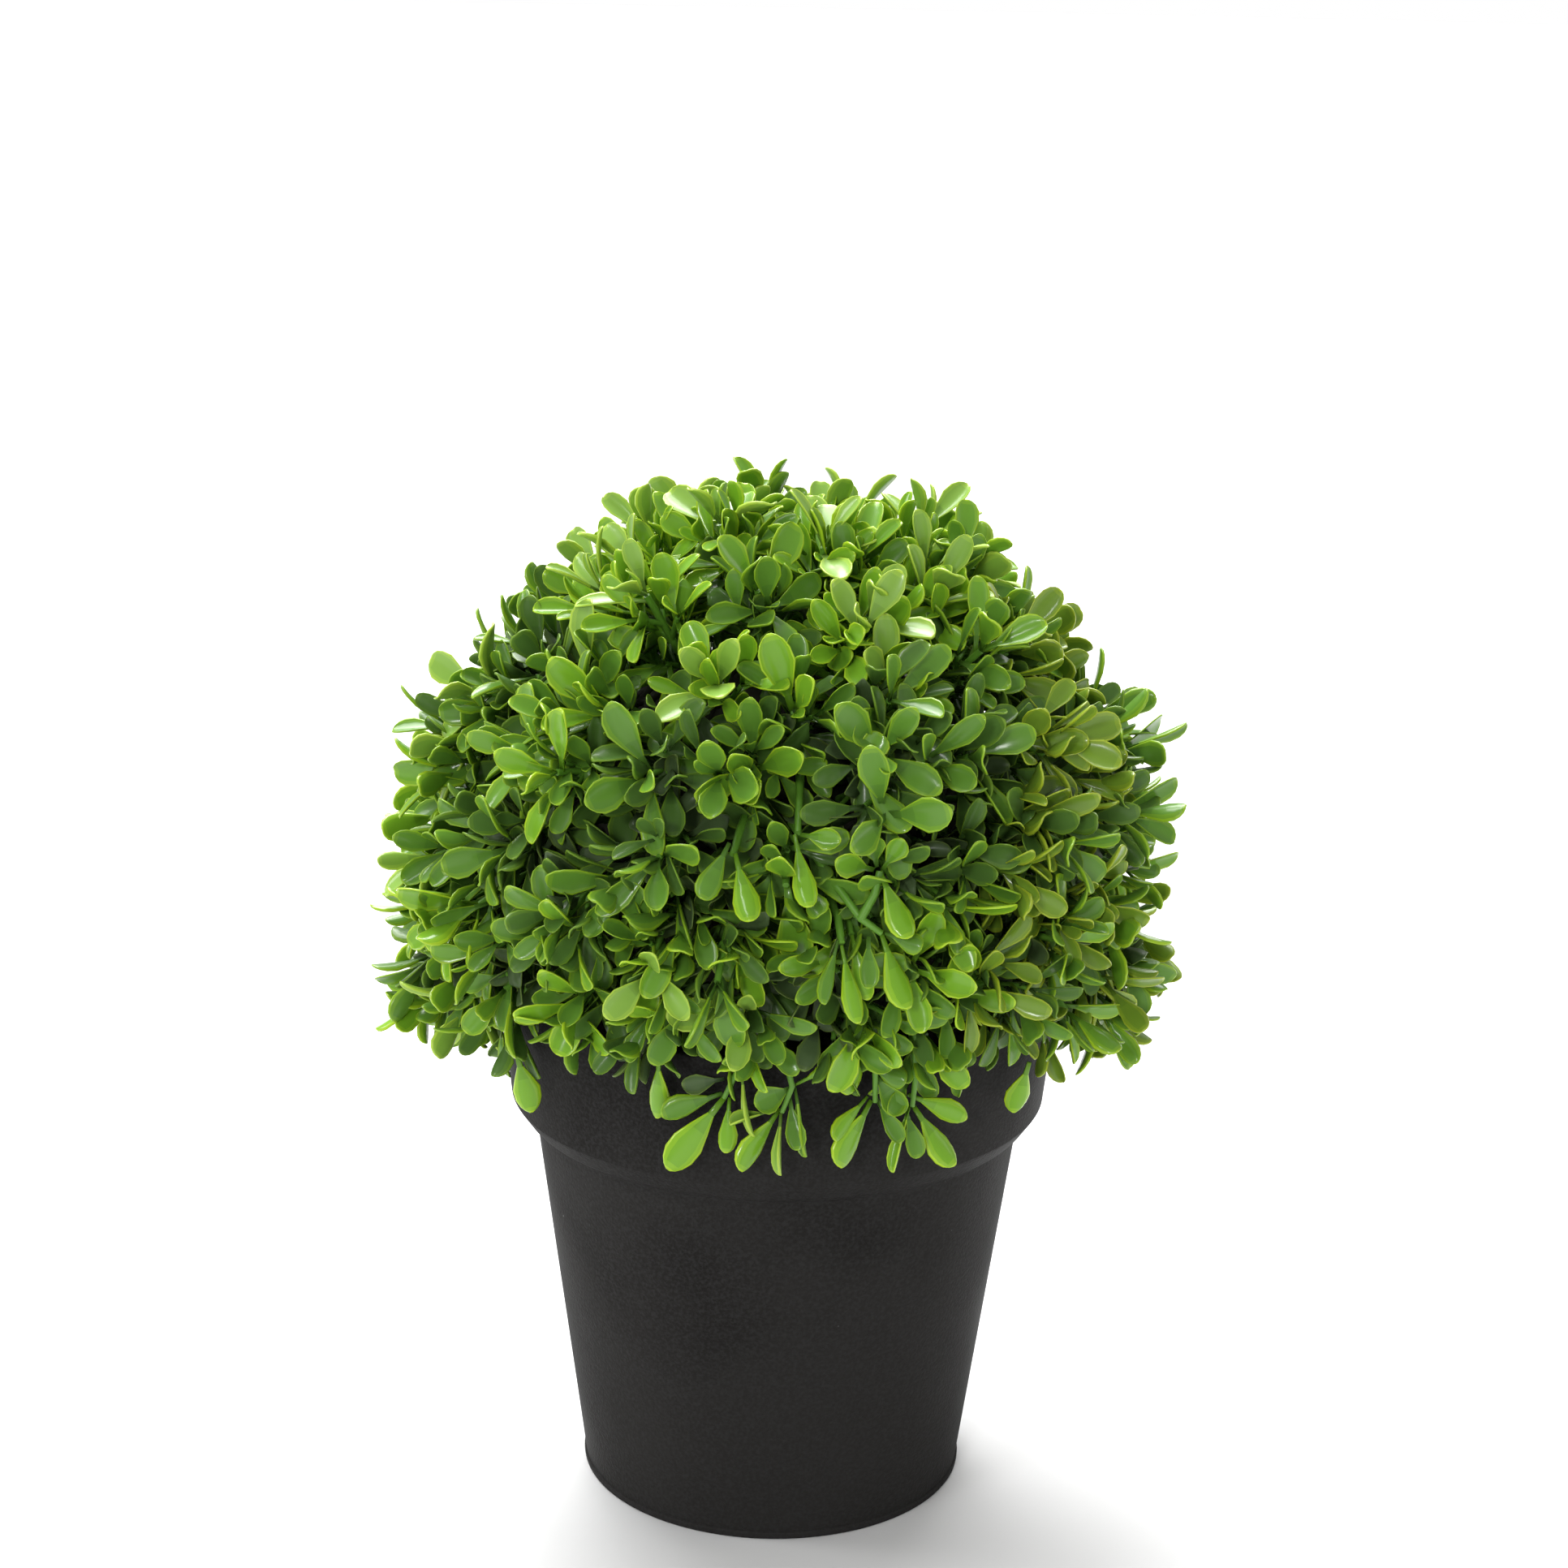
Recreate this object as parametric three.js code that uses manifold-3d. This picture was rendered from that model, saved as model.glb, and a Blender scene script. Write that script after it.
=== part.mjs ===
// A moulded-plastic box topiary ball in a black plastic pot.
// Millimetres, +Z up. The origin is the centre of the pot's flat underside.
import * as THREE from "three";
import { mergeVertices } from "three/addons/utils/BufferGeometryUtils.js";
import Module from "manifold-3d";

// Driving dimensions of the pot.
const POT_HEIGHT = 124;
const RIM_RADIUS = 65; // outer radius at the mouth
const RIM_FOOT_RADIUS = 61.8; // outer radius at the band's lower edge
const RIM_BAND_HEIGHT = 30;
const SHOULDER_RADIUS = 57; // outer radius of the tapered body under the band
const BASE_RADIUS = 44.3; // outer radius of the body at the ground
const WALL = 2.2;
const FLOOR = 2.4;
const FOOT_LIP_HEIGHT = 1.6;
const FOOT_LIP_PROUD = 0.3;
const COLLAR_RADIUS = 59; // the edge where the slope under the band ends
const COLLAR_DROP = 4; // how far that edge lies under the band
const COLLAR_HEIGHT = 1.4; // how soon it has run in to the body
const EDGE_BEVEL = 0.6;

// Driving dimensions of what the pot holds.
const FILL_TOP = 106; // level of the plug that holds the stem
const FILL_CROWN = 2; // how much the plug rises towards its middle
const STEM_TOP = 156;
const STEM_FLARE_RADIUS = 9;
const STEM_RADIUS = 6.2;
const STEM_TIP_RADIUS = 4.6;
const STEM_LEAN = 1.5; // sideways drift of the tip

// Driving dimensions of the foliage.
const BALL_CENTRE = 148; // height of the ball's middle
const BALL_RADIUS = 84.5; // the hollows between the tufts
const TUFT_HEIGHT = 8.5; // how far a tuft stands out of the ball
const TUFT_COUNT = 190;
const TUFT_HALF_ANGLE = 0.2; // radians
const TUFT_SCATTER = 0.25; // radians, how far a tuft strays from its even place
const TUFT_LEAST = 0.45; // the lowest tuft's share of the full height
const BALL_DETAIL = 13; // subdivision of the ball's surface
const FRINGE_SIDE = 93; // lowest level of the foliage at the sides and back
const FRINGE_FRONT = 116; // the same at the front, over the hanging sprigs
const FRONT_HALF_ANGLE = 0.75; // radians, where the front fringe begins to drop
const SIDE_HALF_ANGLE = 1.35; // radians, where it has dropped all the way

// The sprigs that hang over the front of the rim: [bearing in degrees, lowest level].
const HANGING_SPRIGS = [
  [-13.5, 101],
  [-1, 101],
  [13, 101.5],
  [26.5, 102],
];
const SPRIG_BULGE = 7.6; // half of a sprig's width
const SPRIG_THICKNESS = 10.5;
const SPRIG_TOP = 127;
const SPRIG_STANDOFF = 2.5; // from the rim band to the sprig's inner side
const SPRIG_FULLNESS = 0.82; // its width at mid height, as a share of the full width
const SPRIG_NARROWING = 0.22; // how much of that width it loses by its top, and gains by its foot
const SPRIG_LEAN = 2.2; // how far its top leans in to the ball, and its foot out
const SPRIG_DETAIL = 3;

const GAP = 0.35; // clearance between neighbouring pieces
const TURNS = 56; // facets round each turned piece
const SEED = 20;

const wasm = await Module();
wasm.setup();

const points = (pairs) => pairs.map(([r, z]) => new THREE.Vector2(r, z));

// A profile of [radius, height] pairs turned about the vertical axis.
function turned(pairs) {
  const shape = new THREE.LatheGeometry(points(pairs), TURNS);
  return shape.rotateX(Math.PI / 2);
}

// Radius of the pot's tapered body at a height.
const bodyRadius = (z) =>
  BASE_RADIUS + ((SHOULDER_RADIUS - BASE_RADIUS) * z) / (POT_HEIGHT - RIM_BAND_HEIGHT);

// Radius of the rim band at a height.
function bandRadius(z) {
  const share = (z - (POT_HEIGHT - RIM_BAND_HEIGHT)) / RIM_BAND_HEIGHT;
  return RIM_FOOT_RADIUS + (RIM_RADIUS - RIM_FOOT_RADIUS) * share;
}

const LEDGE = POT_HEIGHT - RIM_BAND_HEIGHT; // level of the band's lower edge
const INNER_STEP = LEDGE + WALL; // level where the bore widens behind the band

function potProfile() {
  const collar = LEDGE - COLLAR_DROP;
  return [
    [0, 0],
    [BASE_RADIUS - EDGE_BEVEL, 0],
    [BASE_RADIUS + FOOT_LIP_PROUD, EDGE_BEVEL],
    [BASE_RADIUS + FOOT_LIP_PROUD, FOOT_LIP_HEIGHT],
    [bodyRadius(FOOT_LIP_HEIGHT + FOOT_LIP_PROUD), FOOT_LIP_HEIGHT + FOOT_LIP_PROUD],
    [bodyRadius(collar - COLLAR_HEIGHT), collar - COLLAR_HEIGHT],
    [COLLAR_RADIUS, collar],
    [RIM_FOOT_RADIUS - EDGE_BEVEL, LEDGE],
    [bandRadius(LEDGE + EDGE_BEVEL), LEDGE + EDGE_BEVEL],
    [RIM_RADIUS, POT_HEIGHT - EDGE_BEVEL],
    [RIM_RADIUS - EDGE_BEVEL, POT_HEIGHT],
    [RIM_RADIUS - WALL, POT_HEIGHT],
    [bandRadius(INNER_STEP) - WALL, INNER_STEP],
    [bodyRadius(LEDGE) - WALL, LEDGE - WALL],
    [bodyRadius(FLOOR) - WALL, FLOOR],
    [0, FLOOR],
  ];
}

function pot() {
  return turned(potProfile());
}

// Radius of the pot's bore at a height above its floor.
function boreRadius(z) {
  if (z >= INNER_STEP) return bandRadius(z) - WALL;
  const top = LEDGE - WALL;
  if (z <= top) return bodyRadius(z) - WALL;
  const share = (z - top) / (INNER_STEP - top);
  const low = bodyRadius(LEDGE) - WALL;
  return low + (bandRadius(INNER_STEP) - WALL - low) * share;
}

// The plug that fills the pot and holds the stem, a little higher in the middle.
function potFill() {
  const under = FLOOR + GAP;
  const shoulder = LEDGE - WALL;
  return turned([
    [0, under],
    [boreRadius(under) - 2 * GAP, under],
    [boreRadius(shoulder) - 2 * GAP, shoulder],
    [boreRadius(INNER_STEP) - 2 * GAP, INNER_STEP + 2 * GAP],
    [boreRadius(FILL_TOP) - 2 * GAP, FILL_TOP - FILL_CROWN],
    [STEM_FLARE_RADIUS * 3, FILL_TOP],
    [STEM_FLARE_RADIUS * 2, FILL_TOP],
    [0, FILL_TOP],
  ]);
}

// The short stem: flared at its foot, tapering and leaning a little. grow makes the bore round it.
function stem(grow = 0) {
  const foot = FILL_TOP + GAP - grow;
  const top = STEM_TOP + grow;
  const flareTop = foot + STEM_FLARE_RADIUS;
  const shape = turned([
    [0, foot],
    [STEM_FLARE_RADIUS + grow, foot],
    [(STEM_FLARE_RADIUS + STEM_RADIUS) / 2 + grow, foot + (flareTop - foot) / 3],
    [STEM_RADIUS + grow, flareTop],
    [STEM_TIP_RADIUS + grow, top],
    [0, top],
  ]);
  const place = shape.getAttribute("position");
  for (let i = 0; i < place.count; i++) {
    const share = (place.getZ(i) - foot) / (top - foot);
    place.setX(i, place.getX(i) + STEM_LEAN * share * share);
  }
  return shape;
}

// A seeded source of numbers from 0 to 1.
function randomSource(seed) {
  let state = seed;
  return () => {
    state = (state * 1664525 + 1013904223) % 4294967296;
    return state / 4294967296;
  };
}

// Directions spread evenly over the ball, each shifted a little, with a height for its tuft.
function tufts() {
  const random = randomSource(SEED);
  const golden = Math.PI * (3 - Math.sqrt(5));
  return Array.from({ length: TUFT_COUNT }, (_, i) => {
    const z = 1 - (2 * (i + 0.5)) / TUFT_COUNT;
    const around = golden * i + TUFT_SCATTER * (random() - 0.5);
    const across = Math.sqrt(1 - z * z);
    const way = new THREE.Vector3(across * Math.cos(around), across * Math.sin(around), z);
    return { way, height: TUFT_HEIGHT * (TUFT_LEAST + (1 - TUFT_LEAST) * random()) };
  });
}

const smooth = (t) => t * t * (3 - 2 * t);
const clamp = (t) => Math.min(1, Math.max(0, t));

// The lowest level that the foliage reaches at a bearing from the front (-Y).
function fringe(bearing) {
  const share = clamp((Math.abs(bearing) - FRONT_HALF_ANGLE) / (SIDE_HALF_ANGLE - FRONT_HALF_ANGLE));
  return FRINGE_FRONT + (FRINGE_SIDE - FRINGE_FRONT) * smooth(share);
}

// The ball's surface in a direction: tufts standing out of a sphere, trimmed level at the fringe.
function ballReach(way, allTufts) {
  let reach = BALL_RADIUS;
  for (const { way: middle, height } of allTufts) {
    const angle = way.angleTo(middle);
    if (angle < TUFT_HALF_ANGLE) {
      const rise = height * smooth(1 - angle / TUFT_HALF_ANGLE);
      reach = Math.max(reach, BALL_RADIUS + rise);
    }
  }
  if (way.z < 0) {
    const trim = (BALL_CENTRE - fringe(Math.atan2(way.x, -way.y))) / -way.z;
    reach = Math.min(reach, trim);
  }
  return reach;
}

// A three.js geometry as a manifold-3d solid.
function solid(geometry) {
  const bare = new THREE.BufferGeometry();
  bare.setAttribute("position", geometry.getAttribute("position"));
  if (geometry.index) bare.setIndex(geometry.index);
  const merged = mergeVertices(bare, 1e-4);
  return new wasm.Manifold(
    new wasm.Mesh({
      numProp: 3,
      vertProperties: merged.getAttribute("position").array,
      triVerts: new Uint32Array(merged.index.array),
    }),
  );
}

// A manifold-3d solid as a three.js geometry.
function geometryOf(made) {
  const mesh = made.getMesh();
  const geometry = new THREE.BufferGeometry();
  const place = new THREE.BufferAttribute(new Float32Array(mesh.vertProperties), 3);
  geometry.setAttribute("position", place);
  geometry.setIndex(new THREE.BufferAttribute(new Uint32Array(mesh.triVerts), 1));
  return geometry;
}

// One hanging sprig: a drooping pad, narrow where it leaves the ball, outside the rim.
function hangingSprig([bearing, lowest], grow = 0) {
  const shape = new THREE.IcosahedronGeometry(1, SPRIG_DETAIL);
  const place = shape.getAttribute("position");
  const half = (SPRIG_TOP - lowest) / 2;
  const middle = (SPRIG_TOP + lowest) / 2;
  const out = bandRadius(middle) + SPRIG_THICKNESS / 2 + SPRIG_STANDOFF;
  for (let i = 0; i < place.count; i++) {
    const z = place.getZ(i);
    const taper = SPRIG_FULLNESS - SPRIG_NARROWING * z;
    const lean = SPRIG_LEAN * z;
    place.setXYZ(
      i,
      place.getX(i) * (SPRIG_BULGE + grow) * taper,
      place.getY(i) * (SPRIG_THICKNESS / 2 + grow) * taper - out + lean,
      z * (half + grow) + middle,
    );
  }
  return shape.rotateZ(THREE.MathUtils.degToRad(bearing));
}

// What the ball is cut back from: the pot's rim, the plug, the stem and the hanging sprigs.
function cutters() {
  const deep = FRINGE_SIDE - 20;
  const groove = turned([
    [0, deep],
    [bandRadius(LEDGE) + GAP, deep],
    [bandRadius(LEDGE) + GAP, LEDGE],
    [RIM_RADIUS + GAP, POT_HEIGHT],
    [RIM_RADIUS + GAP, POT_HEIGHT + GAP],
    [RIM_RADIUS - WALL - GAP, POT_HEIGHT + GAP],
    [boreRadius(FILL_TOP) - GAP, FILL_TOP + GAP],
    [0, FILL_TOP + GAP],
  ]);
  const sprigs = HANGING_SPRIGS.map((sprig) => solid(hangingSprig(sprig, GAP)));
  return [solid(groove), solid(stem(GAP)), ...sprigs];
}

// The ball of foliage, seated on the rim with its underside in the pot's mouth.
function foliageBall() {
  const shape = new THREE.IcosahedronGeometry(1, BALL_DETAIL);
  const place = shape.getAttribute("position");
  const allTufts = tufts();
  for (let i = 0; i < place.count; i++) {
    const way = new THREE.Vector3().fromBufferAttribute(place, i).normalize();
    const at = way.clone().multiplyScalar(ballReach(way, allTufts));
    place.setXYZ(i, at.x, at.y, at.z + BALL_CENTRE);
  }
  return geometryOf(cutters().reduce((ball, cutter) => ball.subtract(cutter), solid(shape)));
}

const finish = (color, roughness) =>
  new THREE.MeshStandardMaterial({ color, roughness, metalness: 0 });
const POT_BLACK = finish(0x2b2a2a, 0.6);
const FILL_DARK = finish(0x1c1a17, 0.95);
const STEM_GREEN = finish(0x2f5a2c, 0.6);
const LEAF_GREEN = finish(0x5f9a2b, 0.4);

function piece(name, geometry, material) {
  const mesh = new THREE.Mesh(geometry, material);
  mesh.name = name;
  return mesh;
}

const group = new THREE.Group();
group.add(piece("pot", pot(), POT_BLACK));
group.add(piece("pot_fill", potFill(), FILL_DARK));
group.add(piece("stem", stem(), STEM_GREEN));
group.add(piece("foliage_ball", foliageBall(), LEAF_GREEN));
HANGING_SPRIGS.forEach((sprig, i) =>
  group.add(piece(`hanging_sprig_${i + 1}`, hangingSprig(sprig), LEAF_GREEN)),
);

export default group;
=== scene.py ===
import math

import bpy
import numpy as np
from mathutils import Matrix, Vector


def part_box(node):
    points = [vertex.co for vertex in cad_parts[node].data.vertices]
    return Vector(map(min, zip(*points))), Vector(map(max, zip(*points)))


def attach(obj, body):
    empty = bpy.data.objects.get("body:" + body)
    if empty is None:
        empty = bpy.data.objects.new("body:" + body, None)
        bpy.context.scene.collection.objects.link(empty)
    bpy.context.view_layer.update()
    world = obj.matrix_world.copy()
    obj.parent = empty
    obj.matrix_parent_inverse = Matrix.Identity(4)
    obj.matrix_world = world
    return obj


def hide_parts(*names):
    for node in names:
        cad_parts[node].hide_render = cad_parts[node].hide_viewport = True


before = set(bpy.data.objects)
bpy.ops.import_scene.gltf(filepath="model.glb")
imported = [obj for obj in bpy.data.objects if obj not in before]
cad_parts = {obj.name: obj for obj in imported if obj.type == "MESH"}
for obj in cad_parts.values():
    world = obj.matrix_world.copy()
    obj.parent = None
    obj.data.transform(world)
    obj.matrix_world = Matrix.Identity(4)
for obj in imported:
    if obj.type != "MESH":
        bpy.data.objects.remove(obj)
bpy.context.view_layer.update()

# ======== sizes, in metres
MM = 0.001
POT_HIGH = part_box("pot")[1]
FILL_LOW, FILL_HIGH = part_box("pot_fill")
STEM_LOW, STEM_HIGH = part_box("stem")
BALL_LOW, BALL_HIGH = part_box("foliage_ball")

POT_HEIGHT = POT_HIGH.z
RIM_RADIUS = POT_HIGH.x
BAND_HEIGHT = 30.3 * MM
BAND_FOOT_RADIUS = RIM_RADIUS - 3.2 * MM
COLLAR_RADIUS = RIM_RADIUS - 6.0 * MM
SHOULDER_RADIUS = RIM_RADIUS - 8.0 * MM
FOOT_RADIUS = 44.3 * MM
WALL = 2.2 * MM
FLOOR_THICKNESS = 2.4 * MM
BAND_FOOT_Z = POT_HEIGHT - BAND_HEIGHT

BALL_CENTRE = Vector((0, 0, POT_HEIGHT + 24 * MM))
TIP_RADIUS = 76.8 * MM
CORE_RADIUS = 50 * MM
TWIG_FOOT_RADIUS = 47 * MM
SPRIG_SPACING = 17 * MM
LEAF_LENGTH = 15.0 * MM
LEAF_HALF_WIDTH = 3.06 * MM
LEAF_THICKNESS = 0.62 * MM
# The grown leaves' tips stay within the ball's box, widened by this.
OUTLINE_LOW = np.array(BALL_LOW) - 1.8 * MM
OUTLINE_HIGH = np.array(BALL_HIGH) + np.array((1.8, 1.8, 4)) * MM

# How far a grown leaf's middle keeps from those of the latest leaves, and from the laid leaves and twigs.
LEAF_SPACING = 3.3 * MM
LAID_SPACING = 3.6 * MM
LATEST_LEAVES = 2600
# The most leaves that are joined in one piece.
PIECE_LEAVES = 900
# The radius of a twig at its foot and at its tip.
MAIN_TWIG = (1.0 * MM, 0.75 * MM)
SIDE_TWIG = (0.72 * MM, 0.55 * MM)
HANGING_TWIG = (0.8 * MM, 0.55 * MM)

SEED = 43


def linear(red, green, blue):
    """Screen values from 0 to 255 as the renderer's linear red, green, blue, alpha."""
    def channel(value):
        value /= 255
        return value / 12.92 if value <= 0.04045 else ((value + 0.055) / 1.055) ** 2.4
    return (channel(red), channel(green), channel(blue), 1.0)


# ======== finishes
def set_values(node, values):
    """Sets the node's own sockets, by their label or number."""
    for key, value in values.items():
        node.inputs[key].default_value = value


def plain_finish(name, colour, roughness, coat=0.0, specular=0.5):
    """One even plastic finish, with every value on the shader's own sockets."""
    material = bpy.data.materials.new(name)
    material.use_nodes = True
    set_values(material.node_tree.nodes["Principled BSDF"], {
        "Base Color": linear(*colour),
        "Roughness": roughness,
        "Specular IOR Level": specular,
        "Coat Weight": coat,
        "Coat Roughness": 0.15,
    })
    return material


class Finish:
    """Adds nodes to one material and joins them up."""

    def __init__(self, name, roughness, specular):
        self.material = bpy.data.materials.new(name)
        self.material.use_nodes = True
        self.tree = self.material.node_tree
        self.shader = self.tree.nodes["Principled BSDF"]
        set_values(self.shader, {"Roughness": roughness, "Specular IOR Level": specular})
        self.place = self.tree.nodes.new("ShaderNodeTexCoord").outputs["Object"]

    def link(self, source, target):
        self.tree.links.new(source, target)

    def feed(self, label, source):
        self.link(source, self.shader.inputs[label])

    def noise(self, scale, detail=3.0, rough=0.5, stretch=None):
        node = self.tree.nodes.new("ShaderNodeTexNoise")
        set_values(node, {"Scale": scale, "Detail": detail, "Roughness": rough})
        place = self.place
        if stretch:
            mapping = self.tree.nodes.new("ShaderNodeMapping")
            mapping.inputs["Scale"].default_value = stretch
            self.link(place, mapping.inputs["Vector"])
            place = mapping.outputs["Vector"]
        self.link(place, node.inputs["Vector"])
        return node.outputs["Fac"]

    def spots(self, scale):
        node = self.tree.nodes.new("ShaderNodeTexVoronoi")
        node.inputs["Scale"].default_value = scale
        self.link(self.place, node.inputs["Vector"])
        return node.outputs["Distance"]

    def ramp(self, value, stops):
        node = self.tree.nodes.new("ShaderNodeValToRGB")
        ramp = node.color_ramp
        while len(ramp.elements) < len(stops):
            ramp.elements.new(0.5)
        for element, (position, colour) in zip(ramp.elements, stops):
            element.position = position
            element.color = colour
        self.link(value, node.inputs["Fac"])
        return node.outputs["Color"]

    def spread(self, value, low, high, to_low, to_high):
        node = self.tree.nodes.new("ShaderNodeMapRange")
        set_values(node, {"From Min": low, "From Max": high, "To Min": to_low, "To Max": to_high})
        self.link(value, node.inputs["Value"])
        return node.outputs["Result"]

    def lighten(self, factor, below, above):
        """The colour below, moved by factor towards the fixed colour above."""
        node = self.tree.nodes.new("ShaderNodeMix")
        node.data_type = "RGBA"
        colour_a, colour_b = node.inputs[6], node.inputs[7]
        self.link(factor, node.inputs["Factor"])
        self.link(below, colour_a)
        colour_b.default_value = above
        return node.outputs[2]

    def mottle(self, value, dark, light):
        """Feeds the colour with two screen colours, mixed by value."""
        colour = self.ramp(value, [(0.3, linear(*dark)), (0.7, linear(*light))])
        self.feed("Base Color", colour)

    def bump(self, height, distance, strength, under=None):
        node = self.tree.nodes.new("ShaderNodeBump")
        set_values(node, {"Distance": distance, "Strength": strength})
        self.link(height, node.inputs["Height"])
        if under:
            self.link(under, node.inputs["Normal"])
        return node.outputs["Normal"]


def pot_plastic():
    """Black moulded plastic: its dark colour in faint clouds that are painted reflections, a fine leathery
    grain and a few pale specks.
    """
    finish = Finish("black_pot_plastic", roughness=0.55, specular=0.02)
    # Painted reflections: the darker and lighter cloudy patches stand in for reflections on the pot's
    # side.
    dark_with_painted_reflections = finish.ramp(finish.noise(11, detail=3), [
        (0.36, linear(28, 27, 26)),
        (0.47, linear(36, 35, 34)),
        (0.75, linear(41, 40, 39)),
    ])
    fine = finish.noise(1250, detail=2, rough=0.6)
    grain = finish.spread(fine, 0.4, 0.66, 0.0, 0.4)
    grained = finish.lighten(grain, dark_with_painted_reflections, linear(49, 49, 49))
    specks = finish.spread(finish.spots(190), 0.0, 0.045, 1.0, 0.0)
    dusty = finish.spread(finish.noise(60, detail=1), 0.6, 0.66, 0.0, 0.8)
    both = finish.tree.nodes.new("ShaderNodeMath")
    both.operation = "MULTIPLY"
    finish.link(specks, both.inputs[0])
    finish.link(dusty, both.inputs[1])
    finish.feed("Base Color", finish.lighten(both.outputs[0], grained, linear(150, 150, 150)))
    finish.feed("Roughness", finish.spread(finish.noise(30, detail=5), 0.3, 0.7, 0.46, 0.62))
    leathery = finish.bump(fine, 0.25 * MM, 0.55)
    finish.feed("Normal", finish.bump(finish.spots(1500), 0.12 * MM, 0.3, under=leathery))
    return finish.material


def plug_finish():
    """Dark, dull and crumbly."""
    finish = Finish("dark_plug", roughness=0.9, specular=0.2)
    finish.mottle(finish.noise(240, detail=5, rough=0.7), (20, 17, 14), (46, 38, 30))
    finish.feed("Normal", finish.bump(finish.noise(500, detail=5, rough=0.7), 0.8 * MM, 0.8))
    return finish.material


def post_finish():
    """Dark green moulded plastic, streaked along the post."""
    finish = Finish("dark_green_post_plastic", roughness=0.45, specular=0.4)
    finish.mottle(finish.noise(160, detail=3, stretch=(1, 1, 0.2)), (30, 62, 30), (42, 84, 38))
    finish.feed("Normal", finish.bump(finish.noise(900, detail=3), 0.2 * MM, 0.3))
    return finish.material


# Each tone of leaf: the screen colours of blade and margin, then roughness, gloss and clear coat. The dark
# tones deep and shade are painted shade, given to the leaves deep in the ball and below the crown; the
# whitish pale tone is painted light and sheen, given mostly to the crown.
LEAF_TONES = {
    "deep": ((66, 84, 52), (86, 106, 46), 0.36, 0.12, 0.1),
    "shade": ((70, 101, 44), (99, 130, 38), 0.32, 0.11, 0.15),
    "mid": ((81, 121, 42), (122, 156, 34), 0.3, 0.1, 0.25),
    "leaf": ((93, 138, 38), (140, 171, 34), 0.28, 0.1, 0.4),
    "fresh": ((102, 148, 35), (150, 182, 37), 0.27, 0.1, 0.36),
    "pale": ((115, 152, 58), (155, 183, 60), 0.36, 0.16, 0.3),
    "olive": ((97, 127, 38), (142, 160, 40), 0.3, 0.12, 0.35),
}
# Each zone of a leaf, from the stalk out: how bright its colour is kept, and the margin's share in it.
# Petiole and heart are kept darker as painted shade towards the stalk.
ZONES = {
    "petiole": (0.85, 0.0),
    "heart": (0.94, 0.0),
    "blade": (1.0, 0.05),
    "border": (1.0, 0.38),
    "margin": (1.0, 1.0),
}
PETIOLE, HEART, BLADE, BORDER, MARGIN = range(len(ZONES))


def leaf_finishes(tone):
    """The tone's five plain plastics, one for each zone of the leaf."""
    blade, margin, roughness, gloss, coat = LEAF_TONES[tone]
    made = {}
    for zone, (kept, edge) in ZONES.items():
        colour = tuple(kept * (b * (1 - edge) + m * edge) for b, m in zip(blade, margin))
        made[f"{zone}_finish"] = plain_finish(f"{tone}_{zone}_plastic", colour, roughness, coat, gloss)
    return made


# ======== making meshes
def placed(name, data):
    """A new object in the scene that holds this data."""
    holder = bpy.data.objects.new(name, data)
    bpy.context.scene.collection.objects.link(holder)
    return holder


def mesh_object(name, points, faces):
    mesh = bpy.data.meshes.new(name)
    mesh.from_pydata(points, [], faces)
    mesh.update()
    return placed(name, mesh)


def smooth(piece, angle=None):
    """Smooth shading, with edges sharper than angle kept sharp."""
    for polygon in piece.data.polygons:
        polygon.use_smooth = True
    if angle is not None:
        piece.data.set_sharp_from_angle(angle=angle)


def turned(name, profile, turns):
    """A closed solid turned about the pot's axis; the profile runs out from the axis and back to it."""
    points = [(0.0, 0.0, profile[0][1])]
    for radius, height in profile[1:-1]:
        for step in range(turns):
            angle = 2 * math.pi * step / turns
            points.append((radius * math.cos(angle), radius * math.sin(angle), height))
    points.append((0.0, 0.0, profile[-1][1]))
    rings = len(profile) - 2
    last = len(points) - 1
    faces = []
    for step in range(turns):
        after = (step + 1) % turns
        faces.append((0, 1 + after, 1 + step))
        for ring in range(rings - 1):
            low, high = 1 + ring * turns, 1 + (ring + 1) * turns
            faces.append((low + step, low + after, high + after, high + step))
        top = 1 + (rings - 1) * turns
        faces.append((top + step, top + after, last))
    return mesh_object(name, points, faces)


def rounded(corners, steps=4):
    """The profile through these corners (radius, height, rounding), each rounded by a short arc."""
    result = []
    for index, (radius, height, rounding) in enumerate(corners):
        if not rounding:
            result.append((radius, height))
            continue
        here = Vector((radius, height))
        back = Vector(corners[index - 1][:2]) - here
        onward = Vector(corners[index + 1][:2]) - here
        half = back.angle(onward) / 2
        reach = min(rounding / math.tan(half), back.length * 0.45, onward.length * 0.45)
        start = here + back.normalized() * reach
        end = here + onward.normalized() * reach
        for step in range(steps + 1):
            t = step / steps
            place = start * (1 - t) ** 2 + here * 2 * t * (1 - t) + end * t ** 2
            result.append((place.x, place.y))
    return result


def belong(piece, node, finish=None):
    """The piece rides on the one body, takes the finish if one is given, and stands for this solid."""
    if finish:
        piece.data.materials.append(finish)
    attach(piece, "root")
    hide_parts(node)


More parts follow.
